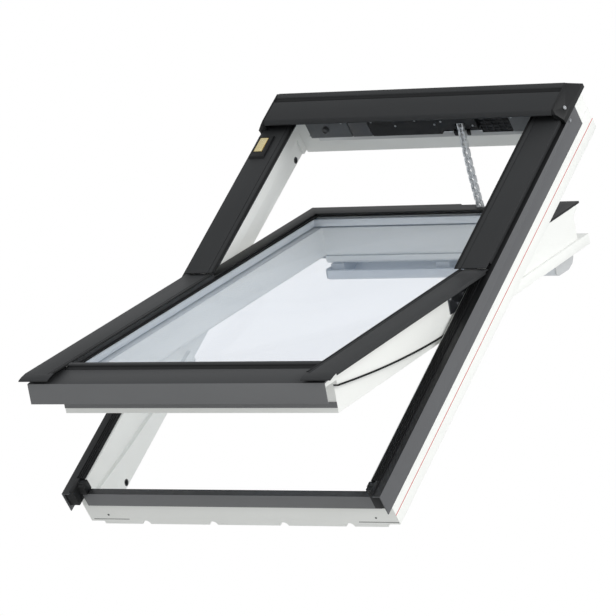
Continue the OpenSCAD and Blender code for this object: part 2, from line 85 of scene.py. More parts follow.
class Plane(Enum):
    """The plane that a piece is drawn in before it is tilted to its place."""

    ROOF = "roof"
    SASH = "sash"

    @property
    def matrix(self) -> Matrix:
        """Turns flat metres into the row's frame.

        Returns:
            The matrix from the flat plane to the place at rest.
        """
        roof = Matrix.Rotation(PITCH, 4, "X") @ Matrix.Translation(
            (0, LOWER_FACE * MM, ORIGIN_DEPTH * MM)
        )
        if self is Plane.ROOF:
            return roof
        pivot = Matrix.Translation((0, 0, -PIVOT_DEPTH * MM))
        return roof @ pivot @ Matrix.Rotation(-OPEN_ANGLE, 4, "X") @ pivot.inverted()


class Body(Enum):
    """The bodies that pieces ride on."""

    FRAME = "frame"
    SASH = "sash"
    BAR = "bar"
    BOLT = "bolt"
    SPROCKET = "sprocket"


# ---------------------------------------------------------------- materials

BUMP_STRENGTH = 0.5
WAVE_PERIOD = 0.314  # metres between the bands of a wave texture of scale 1

def linear(code: str) -> tuple[float, float, float, float]:
    """Turns an sRGB hex value into linear colour.

    Args:
        code: six hex digits, with or without a leading #.

    Returns:
        Red, green, blue and alpha, linear.
    """
    digits = code.lstrip("#")
    channels = [int(digits[i : i + 2], 16) / 255 for i in (0, 2, 4)]
    bent = [c / 12.92 if c <= 0.04045 else ((c + 0.055) / 1.055) ** 2.4 for c in channels]
    return (*bent, 1.0)


def add_node(
    tree: bpy.types.NodeTree,
    kind: str,
    inputs: Mapping[Any, Any] | None = None,
    **settings: Any,
) -> bpy.types.Node:
    """Adds a node with its settings and links.

    Args:
        tree: the material's node tree.
        kind: the node's type name.
        inputs: socket name or index to a value, or to an output socket to link.
        **settings: attributes of the node.

    Returns:
        The new node.
    """
    node = tree.nodes.new(kind)
    for name, value in settings.items():
        setattr(node, name, value)
    for key, value in (inputs or {}).items():
        if isinstance(value, bpy.types.NodeSocket):
            tree.links.new(value, node.inputs[key])
        else:
            node.inputs[key].default_value = value
    return node


@dataclass(frozen=True)
class Finish:
    """A solid finish: a colour with slow variation, fine grain and its gloss."""

    name: str
    slot: str  # a material slot name
    colour: str
    second: str  # the colour that it drifts to
    rough: Span
    metal: float = 0.0
    ior: float = 1.5
    drift_mm: float = 60.0  # size of the slow patches
    grain_mm: float = 1.2  # size of the grain
    grain_depth_mm: float = 0.01
    stretch: tuple[float, float, float] = (1.0, 1.0, 1.0)  # grain drawn out along an axis
    alpha: float = 1.0
    specular: float = 0.5

    def build(self) -> bpy.types.Material:
        """Makes the material, unless it is made already.

        Returns:
            The material.
        """
        made = bpy.data.materials.get(self.name)
        if made:
            return made
        made = bpy.data.materials.new(self.name)
        made.use_nodes = True
        tree = made.node_tree
        tree.nodes.clear()
        place = add_node(tree, "ShaderNodeTexCoord").outputs["Object"]
        slow = add_node(
            tree,
            "ShaderNodeTexNoise",
            {"Vector": place, "Scale": 1 / (self.drift_mm * MM), "Detail": 2.0},
        )
        drawn = add_node(
            tree, "ShaderNodeMapping", {"Vector": place, "Scale": self.stretch}
        )
        fine = add_node(
            tree,
            "ShaderNodeTexNoise",
            {
                "Vector": drawn.outputs["Vector"],
                "Scale": 1 / (self.grain_mm * MM),
                "Detail": 3.0,
            },
        )
        tint = add_node(
            tree,
            "ShaderNodeMix",
            {0: slow.outputs["Fac"], 6: linear(self.colour), 7: linear(self.second)},
            data_type="RGBA",
        )
        colour = self.decorate(tree, place, tint.outputs[2])
        gloss = add_node(
            tree,
            "ShaderNodeMapRange",
            {"Value": fine.outputs["Fac"], "To Min": self.rough[0], "To Max": self.rough[1]},
        )
        bump = add_node(
            tree,
            "ShaderNodeBump",
            {
                "Height": fine.outputs["Fac"],
                "Strength": BUMP_STRENGTH,
                "Distance": self.grain_depth_mm * MM,
            },
        )
        shader = add_node(
            tree,
            "ShaderNodeBsdfPrincipled",
            {
                "Base Color": colour,
                "Roughness": gloss.outputs["Result"],
                "Normal": bump.outputs["Normal"],
                "Metallic": self.metal,
                "Alpha": self.alpha,
                "Specular IOR Level": self.specular,
            },
        )
        if self.metal == 0:
            shader.inputs["IOR"].default_value = self.ior
        add_node(tree, "ShaderNodeOutputMaterial", {"Surface": shader.outputs["BSDF"]})
        return made

    def decorate(
        self,
        tree: bpy.types.NodeTree,
        place: bpy.types.NodeSocket,
        colour: bpy.types.NodeSocket,
    ) -> bpy.types.NodeSocket:
        """Adds what is printed on the surface; a plain finish has nothing."""
        return colour


@dataclass(frozen=True)
class SidedMoulding(Finish):
    """The moulding with the thin coloured line that runs along its outer sides."""

    line: str = "#C0302A"
    line_depth_mm: float = 12.0  # below the row's origin plane, square to the roof
    line_mm: float = 2.2
    side_mm: float = 379.5

    def decorate(
        self,
        tree: bpy.types.NodeTree,
        place: bpy.types.NodeSocket,
        colour: bpy.types.NodeSocket,
    ) -> bpy.types.NodeSocket:
        """Adds the line to the colour of the outer sides.

        Args:
            tree: the material's node tree.
            place: the place on the piece.
            colour: the colour so far.

        Returns:
            The new colour.
        """
        outwards = (0, -math.sin(PITCH), math.cos(PITCH))
        depth = add_node(
            tree, "ShaderNodeVectorMath", {0: place, 1: outwards}, operation="DOT_PRODUCT"
        )
        near = add_node(
            tree,
            "ShaderNodeMath",
            {0: depth.outputs["Value"], 1: -self.line_depth_mm * MM, 2: self.line_mm / 2 * MM},
            operation="COMPARE",
        )
        across = add_node(tree, "ShaderNodeSeparateXYZ", {"Vector": place})
        aside = add_node(
            tree, "ShaderNodeMath", {0: across.outputs["X"]}, operation="ABSOLUTE"
        )
        outer = add_node(
            tree,
            "ShaderNodeMath",
            {0: aside.outputs["Value"], 1: self.side_mm * MM},
            operation="GREATER_THAN",
        )
        both = add_node(
            tree,
            "ShaderNodeMath",
            {0: near.outputs["Value"], 1: outer.outputs["Value"]},
            operation="MULTIPLY",
        )
        return add_node(
            tree,
            "ShaderNodeMix",
            {0: both.outputs["Value"], 6: colour, 7: linear(self.line)},
            data_type="RGBA",
        ).outputs[2]


@dataclass(frozen=True)
class TopShadedLacquer(Finish):
    """Lacquered sheet with painted shade: the faces that look up are painted darker than the
    upright ones.
    """

    # painted shade: the colour given to the faces that look up
    top: str = "#3A3B3C"
    turn: Span = (0.4, 0.6)  # upward share of the normal where the tone changes

    def decorate(
        self,
        tree: bpy.types.NodeTree,
        place: bpy.types.NodeSocket,
        colour: bpy.types.NodeSocket,
    ) -> bpy.types.NodeSocket:
        """Darkens the faces that look up, as painted shade.

        Args:
            tree: the material's node tree.
            place: the place on the piece.
            colour: the colour so far.

        Returns:
            The new colour.
        """
        facing = add_node(tree, "ShaderNodeTexCoord").outputs["Normal"]
        parts = add_node(tree, "ShaderNodeSeparateXYZ", {"Vector": facing})
        upward = add_node(
            tree,
            "ShaderNodeMapRange",
            {"Value": parts.outputs["Z"], "From Min": self.turn[0], "From Max": self.turn[1]},
        )
        return add_node(
            tree,
            "ShaderNodeMix",
            {0: upward.outputs["Result"], 6: colour, 7: linear(self.top)},
            data_type="RGBA",
        ).outputs[2]


@dataclass(frozen=True)
class SensorFace(Finish):
    """The face of the rain sensor, with its comb of fine gold tracks."""

    track: str = "#A8873C"
    track_mm: float = 3.2
    edge: Span = (0.72, 0.86)  # where the wave turns into a track

    def decorate(
        self,
        tree: bpy.types.NodeTree,
        place: bpy.types.NodeSocket,
        colour: bpy.types.NodeSocket,
    ) -> bpy.types.NodeSocket:
        """Adds the tracks across the face.

        Args:
            tree: the material's node tree.
            place: the place on the piece.
            colour: the colour so far.

        Returns:
            The new colour.
        """
        wave = add_node(
            tree,
            "ShaderNodeTexWave",
            {"Vector": place, "Scale": WAVE_PERIOD / (self.track_mm * MM), "Distortion": 1.5},
            bands_direction="X",
        )
        sharp = add_node(
            tree,
            "ShaderNodeMapRange",
            {"Value": wave.outputs["Fac"], "From Min": self.edge[0], "From Max": self.edge[1]},
        )
        return add_node(
            tree,
            "ShaderNodeMix",
            {0: sharp.outputs["Result"], 6: colour, 7: linear(self.track)},
            data_type="RGBA",
        ).outputs[2]


# Polyurethane moulded round a core and lacquered: white, satin, with a soft orange peel.
MOULDED = Finish(
    "White moulded polyurethane", "moulding", "#EFF0ED", "#E9EAE6", (0.36, 0.46), grain_mm=3.0,
    grain_depth_mm=0.03, drift_mm=140,
)
# The same moulding on the frame, with the thin line along its outer sides.
FRAME_MOULDED = SidedMoulding(
    "White moulded polyurethane with side line", "moulding", "#EFF0ED", "#E9EAE6", (0.36, 0.46),
    grain_mm=3.0, grain_depth_mm=0.03, drift_mm=140,
)
# Rolled aluminium, coil-coated dark grey: matt, with a fine even grain.
LACQUER = Finish(
    "Dark grey lacquered aluminium", "cladding", "#343536", "#303132", (0.46, 0.56), grain_mm=1.4,
    grain_depth_mm=0.008, drift_mm=180, specular=0.16,
)
# The same lacquer on the frame's narrow side covers, painted lighter as painted light, with
# painted shade where they fold over the top.
LIT_LACQUER_SIDE = TopShadedLacquer(
    "Side cover lacquer, painted lighter, with painted top shade", "cladding", "#5A5B5D", "#565759", (0.42, 0.52), grain_mm=1.4,
    grain_depth_mm=0.008, drift_mm=180, specular=0.35, top="#18191A",
)
# The same lacquer on the folded front pieces, painted lighter as painted light for the sky they
# catch, with painted shade on the faces that look up.
LIT_LACQUER_FRONT = TopShadedLacquer(
    "Folded lacquer, painted lighter, with painted top shade", "cladding_front", "#727374", "#6E6F70", (0.42, 0.52),
    grain_mm=1.4, grain_depth_mm=0.008, drift_mm=180, specular=0.25,
)
# Extruded EPDM: near black, dull, a little dusty.
RUBBER = Finish(
    "Black extruded rubber", "seal", "#0C0D0E", "#131415", (0.55, 0.72), grain_mm=0.9,
    grain_depth_mm=0.02, drift_mm=30, specular=0.25,
)
# ABS moulded in a spark-eroded tool: black with a fine leathery grain.
BLACK_ABS = Finish(
    "Black grained ABS", "black_plastic", "#101112", "#161718", (0.42, 0.58), grain_mm=1.0,
    grain_depth_mm=0.03, drift_mm=40, specular=0.3,
)
# ABS, mid grey, semi-matt, for the small moulded boxes and brackets.
GREY_ABS = Finish(
    "Grey moulded ABS", "grey_plastic", "#8F9192", "#878989", (0.38, 0.5), grain_mm=1.0,
    grain_depth_mm=0.02, drift_mm=40,
)
# The same ABS, dimmer, on the boxes that sit in the shade of the hood.
DIM_ABS = Finish(
    "Dim grey moulded ABS", "grey_plastic", "#5E6062", "#55585A", (0.45, 0.6), grain_mm=1.2,
    grain_depth_mm=0.03, drift_mm=14, specular=0.3,
)
# The same ABS, paler, on the caps of the ventilation bar.
PALE_ABS = Finish(
    "Pale grey moulded ABS", "grey_plastic", "#C4C6C7", "#BDBFC0", (0.38, 0.5), grain_mm=1.0,
    grain_depth_mm=0.02, drift_mm=40,
)
# The same ABS, darker, on the small boxes and sleeves.
DARK_ABS = Finish(
    "Dark grey moulded ABS", "dark_plastic", "#4A4B4D", "#444547", (0.4, 0.55), grain_mm=1.0,
    grain_depth_mm=0.02, drift_mm=40,
)
# Extruded and anodised aluminium: silvery, with fine lines along the extrusion.
ANODISED = Finish(
    "Anodised extruded aluminium", "aluminium", "#C9CBCC", "#BFC1C3", (0.30, 0.44), metal=1.0,
    grain_mm=0.8, grain_depth_mm=0.006, stretch=(0.04, 1, 1), drift_mm=90,
)
# The same extrusion with a bright lacquered face, on the ventilation bar.
BAR_SILVER = Finish(
    "Lacquered silver extrusion", "aluminium", "#E0E3E6", "#D6DADE", (0.32, 0.46), metal=0.25,
    grain_mm=0.8, grain_depth_mm=0.006, stretch=(0.04, 1, 1), drift_mm=90,
)
# Pressed steel with bright zinc: a little cloudy.
ZINC = Finish(
    "Bright zinc-plated steel", "steel", "#B4B6B8", "#A2A4A8", (0.22, 0.4), metal=1.0,
    grain_mm=2.0, grain_depth_mm=0.006, drift_mm=9,
)
# Zinc-plated link plates, a little oily from their run in the actuator.
CHAIN_STEEL = Finish(
    "Zinc-plated chain steel", "steel", "#EDEFF0", "#C2C5C8", (0.34, 0.5), metal=0.45,
    grain_mm=2.0, grain_depth_mm=0.006, drift_mm=6,
)
# Pressed steel with dark passivated zinc.
DARK_ZINC = Finish(
    "Dark passivated steel", "hinge_steel", "#74777B", "#55585C", (0.26, 0.44), metal=1.0,
    grain_mm=2.0, grain_depth_mm=0.01, drift_mm=12,
)
# Float glass, seen as a faint blue-white veil with a polished face.
GLASS = Finish(
    "Clear float glass", "glass", "#9CBBE0", "#A9C4E4", (0.0, 0.02), drift_mm=90, grain_mm=30,
    grain_depth_mm=0.0, alpha=0.08,
)
# Folded aluminium between the panes.
SPACER = Finish(
    "Silver spacer profile", "spacer", "#E3E7EA", "#D9DEE2", (0.3, 0.42), metal=0.4,
    grain_mm=1.0, grain_depth_mm=0.01, stretch=(0.1, 1, 1),
)
# Printed sensor board behind clear lacquer: cream, with fine gold tracks.
SENSOR_FACE = SensorFace(
    "Pale gold sensor face", "sensor_pad", "#E6DDB2", "#D9CD9A", (0.25, 0.4), grain_mm=1.6,
    grain_depth_mm=0.02, drift_mm=5,
)


@dataclass(frozen=True)
class Paper:
    """Seamless studio paper: white where it is seen, softer in what it throws back."""

    name: str = "Seamless white paper"
    seen: str = "#FFFFFF"
    thrown: str = "#E4E4E3"
    rough: float = 0.9

    def build(self) -> bpy.types.Material:
        """Makes the material.

        Returns:
            The material.
        """
        made = bpy.data.materials.new(self.name)
        made.use_nodes = True
        tree = made.node_tree
        tree.nodes.clear()
        body = add_node(
            tree,
            "ShaderNodeBsdfPrincipled",
            {"Base Color": linear(self.thrown), "Roughness": self.rough},
        )
        lit = add_node(tree, "ShaderNodeEmission", {"Color": linear(self.seen)})
        path = add_node(tree, "ShaderNodeLightPath")
        both = add_node(
            tree,
            "ShaderNodeMixShader",
            {0: path.outputs["Is Camera Ray"], 1: body.outputs[0], 2: lit.outputs[0]},
        )
        add_node(tree, "ShaderNodeOutputMaterial", {"Surface": both.outputs[0]})
        return made


# ---------------------------------------------------------------- the bench


class Bench:
    """Modelling tools that every sub-assembly shares."""

    @staticmethod
    def deselect() -> None:
        """Leaves nothing selected, in object mode."""
        if bpy.context.mode != "OBJECT":
            bpy.ops.object.mode_set(mode="OBJECT")
        bpy.ops.object.select_all(action="DESELECT")

    @staticmethod
    def pick(obj: bpy.types.Object) -> None:
        """Selects one object and makes it active.

        Args:
            obj: the object.
        """
        Bench.deselect()
        obj.select_set(True)
        bpy.context.view_layer.objects.active = obj

    @staticmethod
    def modify(obj: bpy.types.Object, kind: str, **settings: Any) -> None:
        """Adds a modifier and applies it.

        Args:
            obj: the piece.
            kind: the modifier's type.
            **settings: its attributes.
        """
        Bench.pick(obj)
        modifier = obj.modifiers.new(kind.title(), kind)
        for name, value in settings.items():
            setattr(modifier, name, value)
        bpy.ops.object.modifier_apply(modifier=modifier.name)

    @staticmethod
    def round_edges(obj: bpy.types.Object, radius_mm: float, segments: int = 2) -> None:
        """Rounds the sharp edges.

        Args:
            obj: the piece.
            radius_mm: the width of the rounding.
            segments: its steps.
        """
        Bench.modify(
            obj,
            "BEVEL",
            width=radius_mm * MM,
            segments=segments,
            limit_method="ANGLE",
            angle_limit=math.radians(SHARP_DEG),
            harden_normals=False,
        )

    @staticmethod
    def block(name: str, x: Span, y: Span, z: Span, radius_mm: float = 0.5) -> bpy.types.Object:
        """A cuboid with rounded edges, as a start or a small part.

        Args:
            name: the piece's name.
            x: its range across, in millimetres.
            y: its range up the slope.
            z: its range outwards.
            radius_mm: the rounding of its edges; 0 leaves them sharp.

        Returns:
            The object, flat.
        """
        Bench.deselect()
        bpy.ops.mesh.primitive_cube_add(
            size=1,
            location=[sum(r) / 2 * MM for r in (x, y, z)],
            scale=[(r[1] - r[0]) * MM for r in (x, y, z)],
        )
        obj = bpy.context.object
        obj.name = obj.data.name = name
        bpy.ops.object.transform_apply()
        if radius_mm > 0:
            Bench.round_edges(obj, radius_mm)
        return obj

    @staticmethod
    def prism(
        name: str, outline: Sequence[Point], x: Span, radius_mm: float = 0.5, segments: int = 2
    ) -> bpy.types.Object:
        """An outline in the y-z plane, drawn point by point and extruded across.

        Args:
            name: the piece's name.
            outline: its corners (y, z) in millimetres, in order.
            x: its range across.
            radius_mm: the rounding of its edges; 0 leaves them sharp.
            segments: the steps of the rounding.

        Returns:
            The object, flat.
        """
        Bench.deselect()
        bpy.ops.mesh.primitive_plane_add(size=1)
        obj = bpy.context.object
        obj.name = obj.data.name = name
        bpy.ops.object.mode_set(mode="EDIT")
        bpy.ops.mesh.select_mode(type="VERT")
        bpy.ops.mesh.select_all(action="SELECT")
        bpy.ops.mesh.merge(type="CENTER")
        bpy.ops.transform.translate(
            value=(x[0] * MM, outline[0][0] * MM, outline[0][1] * MM)
        )
        for (y0, z0), (y1, z1) in zip(outline, outline[1:]):
            bpy.ops.mesh.extrude_vertices_move(
                TRANSFORM_OT_translate={"value": (0, (y1 - y0) * MM, (z1 - z0) * MM)}
            )
        bpy.ops.mesh.select_all(action="SELECT")
        bpy.ops.mesh.edge_face_add()
        bpy.ops.mesh.extrude_region_move(
            TRANSFORM_OT_translate={"value": ((x[1] - x[0]) * MM, 0, 0)}
        )
        bpy.ops.mesh.select_all(action="SELECT")
        bpy.ops.mesh.normals_make_consistent(inside=False)
        bpy.ops.object.mode_set(mode="OBJECT")
        if radius_mm > 0:
            Bench.round_edges(obj, radius_mm, segments)
        return obj

    @staticmethod
    def rod(
        name: str,
        start: Sequence[float],
        axis: str,
        length: float,
        radius: float,
        sides: int = 32,
        edge_mm: float = 0.4,
    ) -> bpy.types.Object:
        """A round bar along x, y or z with softened ends.

        Args:
            name: the piece's name.
            start: the centre of its first end, in millimetres.
            axis: the axis that it runs along.
            length: its length.
            radius: its radius.
            sides: the steps round it.
            edge_mm: the rounding of its ends.

        Returns:
            The object, flat.
        """
        turn = {"x": (0, math.pi / 2, 0), "y": (-math.pi / 2, 0, 0), "z": (0, 0, 0)}[axis]
        middle = Vector(start)
        middle["xyz".index(axis)] += length / 2
        Bench.deselect()
        bpy.ops.mesh.primitive_cylinder_add(
            vertices=sides, radius=radius * MM, depth=length * MM,
            location=middle * MM, rotation=turn,
        )
        obj = bpy.context.object
        obj.name = obj.data.name = name
        bpy.ops.object.transform_apply()
        if edge_mm > 0:
            Bench.round_edges(obj, edge_mm)
        return obj

    @staticmethod
    def screw(name: str, radius: float, height: float) -> bpy.types.Object:
        """A pan-head screw's head at the origin, facing +z, with a round-bottomed socket.

        Args:
            name: the piece's name.
            radius: its radius, in millimetres.
            height: the height of its head.

        Returns:
            The head, flat.
        """
        Bench.deselect()
        bpy.ops.mesh.primitive_cylinder_add(
            vertices=24, radius=radius * MM, depth=height * MM, location=(0, 0, height / 2 * MM)
        )
        obj = bpy.context.object
        obj.name = obj.data.name = name
        bpy.ops.object.transform_apply()
        Bench.pick_faces(obj, lambda face: face.normal.z > FACING)
        bpy.ops.mesh.inset(thickness=radius * 0.5 * MM)
        bpy.ops.mesh.extrude_region_move(
            TRANSFORM_OT_translate={"value": (0, 0, -height * 0.7 * MM)}
        )
        bpy.ops.transform.resize(value=(0.8, 0.8, 1))
        bpy.ops.object.mode_set(mode="OBJECT")
        Bench.round_edges(obj, height * 0.22, 3)
        return obj

    @staticmethod
    def pick_faces(obj: bpy.types.Object, wanted: Callable[[Any], bool]) -> None:
        """Selects faces and leaves the piece in edit mode.

        Args:
            obj: the piece.
            wanted: says for a face whether it is wanted.
        """
        Bench.pick(obj)
        bpy.ops.object.mode_set(mode="EDIT")
        bpy.ops.mesh.select_mode(type="FACE")
        bpy.ops.mesh.select_all(action="DESELECT")
        bpy.ops.object.mode_set(mode="OBJECT")
        for face in obj.data.polygons:
            face.select = wanted(face)
        bpy.ops.object.mode_set(mode="EDIT")

    @staticmethod
    def put(obj: bpy.types.Object, matrix: Matrix) -> bpy.types.Object:
        """Moves a piece and keeps its place in its mesh.

        Args:
            obj: the piece.
            matrix: the move.

        Returns:
            The piece.
        """
        Bench.pick(obj)
        obj.matrix_world = matrix @ obj.matrix_world
        bpy.ops.object.transform_apply()
        return obj

    @staticmethod
    def copy(obj: bpy.types.Object, name: str, matrix: Matrix) -> bpy.types.Object:
        """A copy of a piece with its own mesh, moved to its place.

        Args:
            obj: the piece.
            name: the copy's name.
            matrix: the move.

        Returns:
            The copy.
        """
        Bench.pick(obj)
        bpy.ops.object.duplicate()
        twin = bpy.context.object
        twin.name = twin.data.name = name
        return Bench.put(twin, matrix)

    @staticmethod
    def drop(obj: bpy.types.Object) -> None:
        """Takes away a pattern that only served for its copies."""
        Bench.pick(obj)
        bpy.ops.object.delete()

    @staticmethod
    def join(name: str, parts: Iterable[bpy.types.Object]) -> bpy.types.Object:
        """Joins parts into one piece.

        Args:
            name: the new piece's name.
            parts: the objects to join.

        Returns:
            The joined object.
        """
        parts = list(parts)
        Bench.deselect()
        for part in parts:
            part.select_set(True)
        bpy.context.view_layer.objects.active = parts[0]
        if len(parts) > 1:
            bpy.ops.object.join()
        obj = bpy.context.object
        obj.name = obj.data.name = name
        return obj

    @staticmethod
    def mirrored(obj: bpy.types.Object, name: str) -> bpy.types.Object:
        """A mirror image of a piece across the middle, with its own mesh.

        Args:
            obj: the piece, flat.
            name: the copy's name.

        Returns:
            The copy, facing outwards.
        """
        Bench.pick(obj)
        bpy.ops.object.duplicate()
        copy = bpy.context.object
        copy.name = copy.data.name = name
        bpy.ops.object.mode_set(mode="EDIT")
        bpy.ops.mesh.select_all(action="SELECT")
        bpy.ops.transform.mirror(
            constraint_axis=(True, False, False), orient_type="GLOBAL", center_override=(0, 0, 0)
        )
        bpy.ops.mesh.normals_make_consistent(inside=False)
        bpy.ops.object.mode_set(mode="OBJECT")
        return copy

    @staticmethod
    def from_node(node: str, name: str, radius_mm: float, segments: int = 2) -> bpy.types.Object:
        """A merged copy of a CAD node with rounded edges, in its place at rest.

        Args:
            node: the CAD node.
            name: the copy's name.
            radius_mm: the rounding of its edges.
            segments: the steps of the rounding.

        Returns:
            The copy, tilted to its place already.
        """
        source = FRAME_NODES[node]
        obj = bpy.data.objects.new(name, source.data.copy())
        obj.data.name = name
        bpy.context.scene.collection.objects.link(obj)
        obj.data.materials.clear()
        Bench.pick(obj)
        bpy.ops.object.mode_set(mode="EDIT")
        bpy.ops.mesh.select_all(action="SELECT")
        bpy.ops.mesh.remove_doubles(threshold=WELD_MM * MM)
        bpy.ops.mesh.customdata_custom_splitnormals_clear()
        bpy.ops.mesh.dissolve_limited(angle_limit=math.radians(FLAT_DEG))
        bpy.ops.object.mode_set(mode="OBJECT")
        if radius_mm > 0:
            Bench.round_edges(obj, radius_mm, segments)
        return obj


def looks_down(face: bpy.types.MeshPolygon) -> bool:
    """Says whether a face of a flat piece looks down the slope."""
    return face.normal.y < -FACING


FRAME_NODES: dict[str, bpy.types.Object] = {}
SIDES = ("left", "right")


@dataclass
class Assembly:
    """A sub-assembly that seats, dresses and reports its pieces."""

    body: Body = Body.FRAME
    made: list[str] = field(default_factory=list)

    def seat(
        self,
        obj: bpy.types.Object,
        plane: Plane | None,
        finish: Finish,
        replaces: Sequence[str] = (),
        smooth_deg: float = 35.0,
        body: Body | None = None,
    ) -> bpy.types.Object:
        """Puts a piece in its place, dresses it and lets it ride.

        Args:
            obj: the piece.
            plane: the plane it is drawn in, or None if it is in place already.
            finish: its finish.
            replaces: the CAD nodes that it stands for.
            smooth_deg: edges sharper than this stay sharp.
            body: the body that it rides on, if not the sub-assembly's own.

        Returns:
            The piece.
        """
        body = body or self.body
        Bench.pick(obj)
        if plane is not None:
            Bench.put(obj, plane.matrix)
        bpy.ops.object.shade_smooth_by_angle(angle=math.radians(smooth_deg))
        obj.data.materials.clear()
        obj.data.materials.append(finish.build())
        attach(obj, body.value)
        if replaces:
            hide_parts(*replaces)
        self.made.append(obj.name)
        LOG.info("%s rides on %s, %d faces", obj.name, body.value, len(obj.data.polygons))
        return obj

    def carry(
        self,
        node: str,
        radius_mm: float,
        finish: Finish,
        segments: int = 2,
        body: Body | None = None,
    ) -> bpy.types.Object:
        """Stands a merged and rounded copy in for a CAD node.

        Args:
            node: the CAD node.
            radius_mm: the rounding of its edges.
            finish: its finish.
            segments: the steps of the rounding.
            body: the body that it rides on, if not the sub-assembly's own.

        Returns:
            The copy.
        """
        piece = Bench.from_node(node, "Visible_" + node, radius_mm, segments)
        return self.seat(piece, None, finish, (node,), body=body)


# ---------------------------------------------------------------- studio


@dataclass
class Studio:
    """Camera, floor and light."""

    azimuth: float = 31.22
    elevation: float = -1.25
    distance: float = 10.7738
    aside: float = -0.0284
    above: float = -0.0200
    middle: tuple[float, float, float] = (0.0, 0.34224, 0.44689)
    lens: float = 293.4
    floor_z: float = -0.42
    floor_size: float = 400.0
    sky: tuple[float, float, float, float] = (0.97, 0.985, 1.0, 1.0)
    sky_strength: float = 0.68
    lamp_size: float = 4.0
    lamps: tuple[tuple[str, tuple[float, float, float], float], ...] = (
        ("Key", (6.5, -0.6, 3.2), 270),
        ("Fill", (-3.0, -5.0, 6.0), 60),
    )

    def build(self) -> None:
        """Makes the camera, the floor and the lights."""
        self.camera()
        self.floor()
        self.light()

    def camera(self) -> None:
        """Stands the camera a little below the window, off to the right of its front."""
        a, e = math.radians(self.azimuth), math.radians(self.elevation)
        back = Vector((math.sin(a) * math.cos(e), -math.cos(a) * math.cos(e), math.sin(e)))
        right = Vector((math.cos(a), math.sin(a), 0))
        up = back.cross(right)
        data = bpy.data.cameras.new("Camera")
        data.lens, data.sensor_width = self.lens, 36.0
        data.clip_start, data.clip_end = 0.1, 500.0
        camera = bpy.data.objects.new("Camera", data)
        bpy.context.scene.collection.objects.link(camera)
        camera.location = (
            Vector(self.middle) + back * self.distance + right * self.aside + up * self.above
        )
        camera.rotation_mode = "QUATERNION"
        camera.rotation_quaternion = (-back).to_track_quat("-Z", "Y")
        bpy.context.scene.camera = camera

    def floor(self) -> None:
        """Lays a wide pale floor under the window."""
        Bench.deselect()
        bpy.ops.mesh.primitive_plane_add(size=self.floor_size, location=(0, 0, self.floor_z))
        floor = bpy.context.object
        floor.name = "Studio_floor"
        bpy.ops.object.transform_apply(location=True)
        floor.data.materials.append(Paper().build())

    def light(self) -> None:
        """Sets a bright even surround, a soft key lamp and a weaker fill lamp."""
        world = bpy.data.worlds.new("Studio surround")
        bpy.context.scene.world = world
        world.use_nodes = True
        tree = world.node_tree
        tree.nodes.clear()
        sky = add_node(
            tree, "ShaderNodeBackground", {"Color": self.sky, "Strength": self.sky_strength}
        )
        seen = add_node(
            tree, "ShaderNodeBackground", {"Color": (1, 1, 1, 1), "Strength": 1.0}
        )
        path = add_node(tree, "ShaderNodeLightPath")
        both = add_node(
            tree,
            "ShaderNodeMixShader",
            {0: path.outputs["Is Camera Ray"], 1: sky.outputs[0], 2: seen.outputs[0]},
        )
        add_node(tree, "ShaderNodeOutputWorld", {"Surface": both.outputs[0]})
        for lamp in self.lamps:
            self.lamp(*lamp)
        view = bpy.context.scene.view_settings
        view.view_transform = "Standard"
        view.look = "None"

    def lamp(self, name: str, place: Sequence[float], power: float) -> None:
        """Hangs a square soft lamp that faces the window.

        Args:
            name: the lamp's name.
            place: where it hangs, in metres.
            power: its power in watts.
        """
        data = bpy.data.lights.new(name, "AREA")
        data.energy, data.size = power, self.lamp_size
        lamp = bpy.data.objects.new(name, data)
        bpy.context.scene.collection.objects.link(lamp)
        lamp.location = place
        aim = Vector(self.middle) - Vector(place)
        lamp.rotation_mode = "QUATERNION"
        lamp.rotation_quaternion = aim.to_track_quat("-Z", "Y")


# ---------------------------------------------------------------- sub-assemblies


# A lip's section (x, z), drawn as (-y, z) and turned a quarter so that it runs up the slope.
LIP_OUTLINE = [
    (-301.2, 9.0), (-301.2, 11.2), (-302.2, 12.0), (-306.6, 12.0), (-308.0, 11.2), (-302.4, 11.1),
    (-301.9, 9.0),
]
LIP_TURN = Matrix.Rotation(math.pi / 2, 4, "Z")


